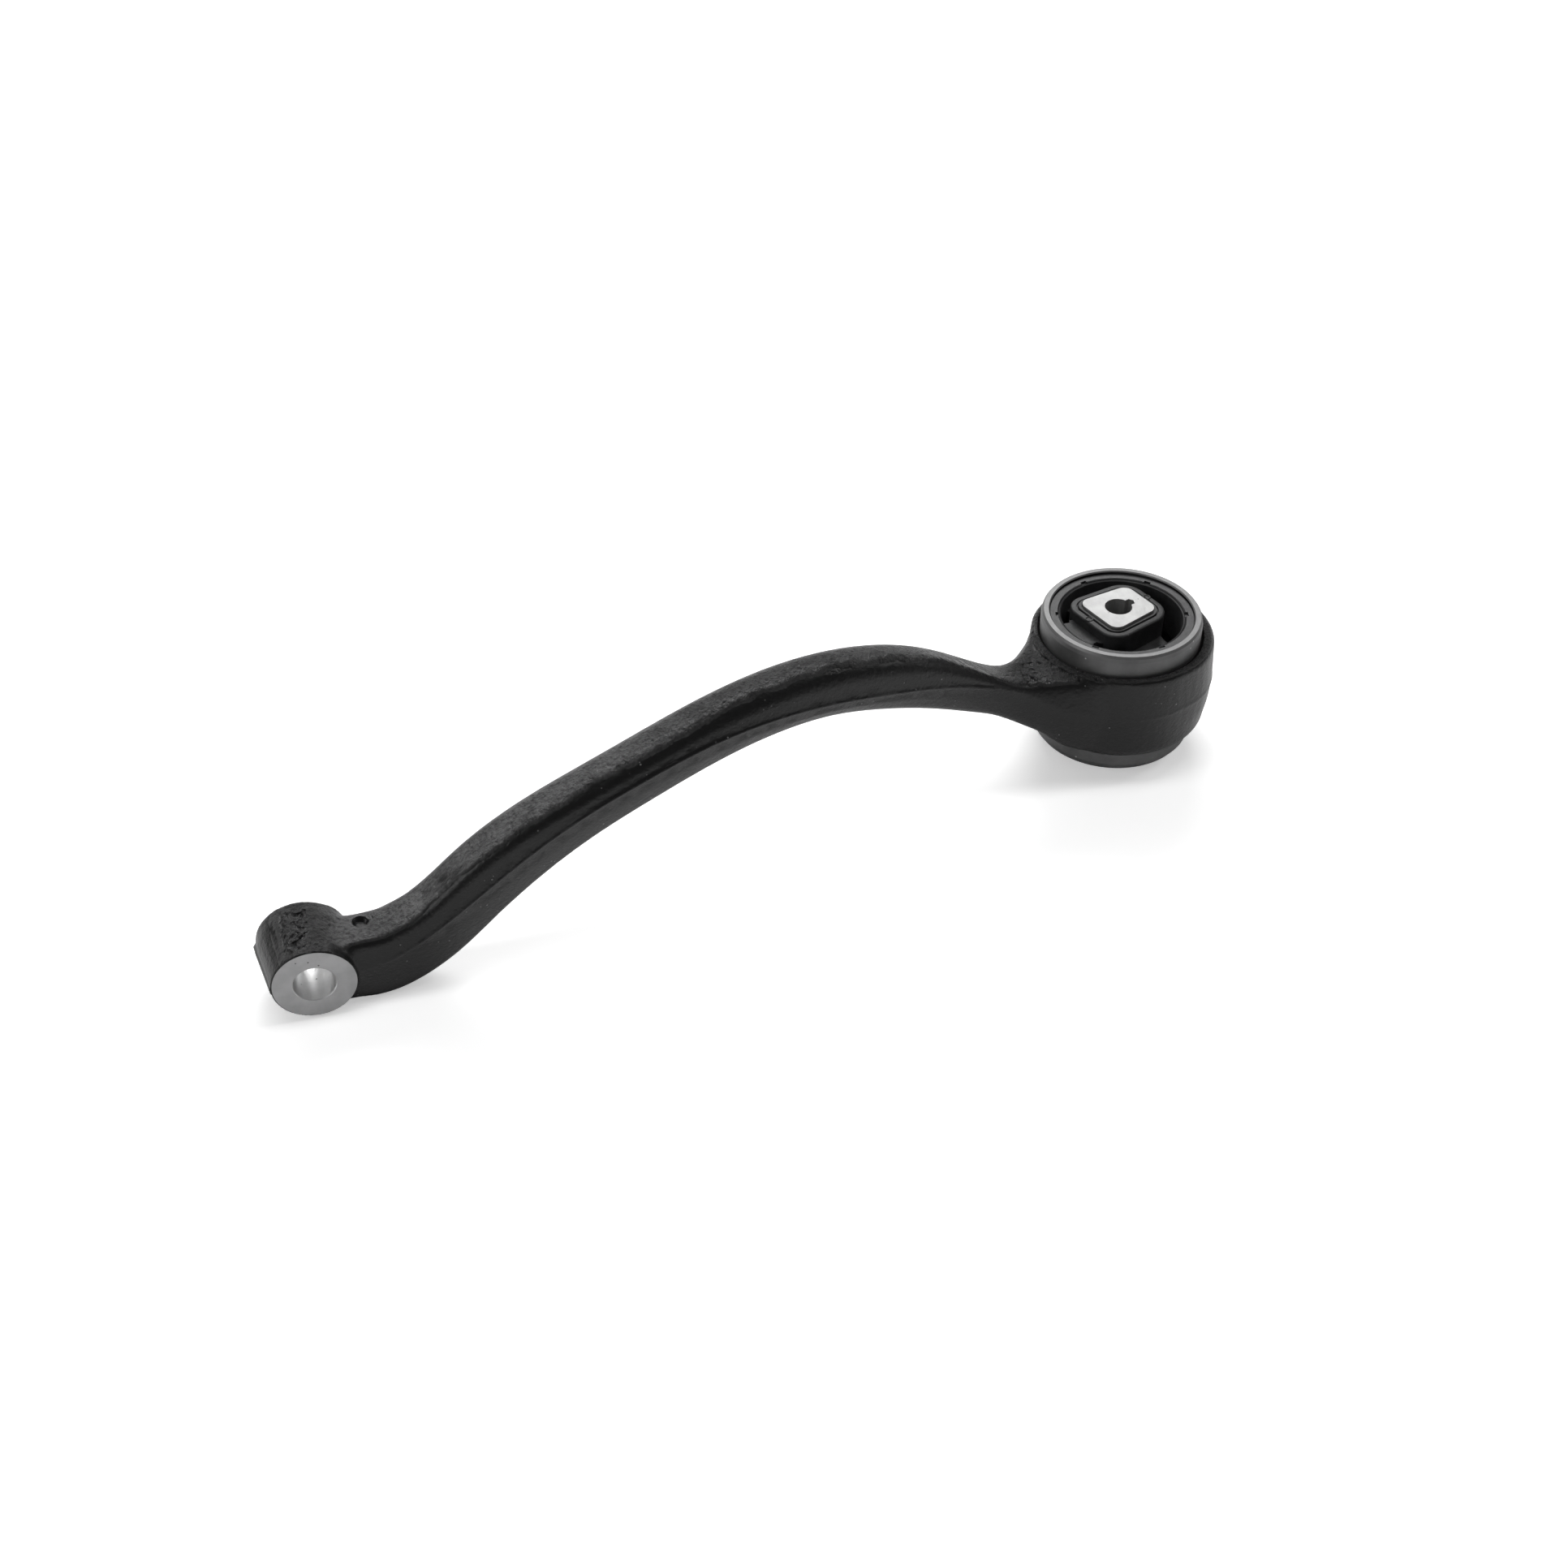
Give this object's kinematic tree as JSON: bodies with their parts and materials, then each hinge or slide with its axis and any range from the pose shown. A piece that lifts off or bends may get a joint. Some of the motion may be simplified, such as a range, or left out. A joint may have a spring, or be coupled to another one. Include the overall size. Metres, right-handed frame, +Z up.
{
  "type": "suspension control arm",
  "caption": "Curved forged suspension arm with a tapered ball-joint eye at one end and a fluid-filled rubber bushing pressed into the other.",
  "frame": {"origin": "middle of the bushing core's bolt bore", "axes": "+Z up along the bolt bore, -Y out of the eye's machined face, and the arm runs towards -X from the bushing to the eye"},
  "size_m": [0.486, 0.1524, 0.1156],
  "materials": {
    "coated_forging": "satin black dip coat over a rough forged skin, with the eye's face and bore machined bare",
    "sleeve_steel": "drawn tube, dull grey with a bright rolled rim",
    "core_aluminium": "fine machined end faces",
    "bush_rubber": "moulded black rubber",
    "cage_moulding": "black moulding with a thin rubber skin",
    "channel_plastic": "moulded dark plastic, hidden",
    "stop_plastic": "moulded dark plastic, hidden"
  },
  "bodies": {
    "arm": {"arm_forging": "coated_forging", "outer_sleeve": "sleeve_steel", "window_cage": "cage_moulding", "channel_shell_inboard": "channel_plastic", "channel_shell_outboard": "channel_plastic", "rubber_spring": "bush_rubber"},
    "core": {"core": "core_aluminium", "travel_stop": "stop_plastic"}
  },
  "joints": [
    {"name": "core_twist", "type": "hinge", "parent": "arm", "child": "core", "pos_m": [0, 0, 0], "axis": [0, 0, 1], "range_deg": [-18, 18], "stiffness_Nm_per_rad": 150, "deforming": ["rubber_spring"]}
  ]
}
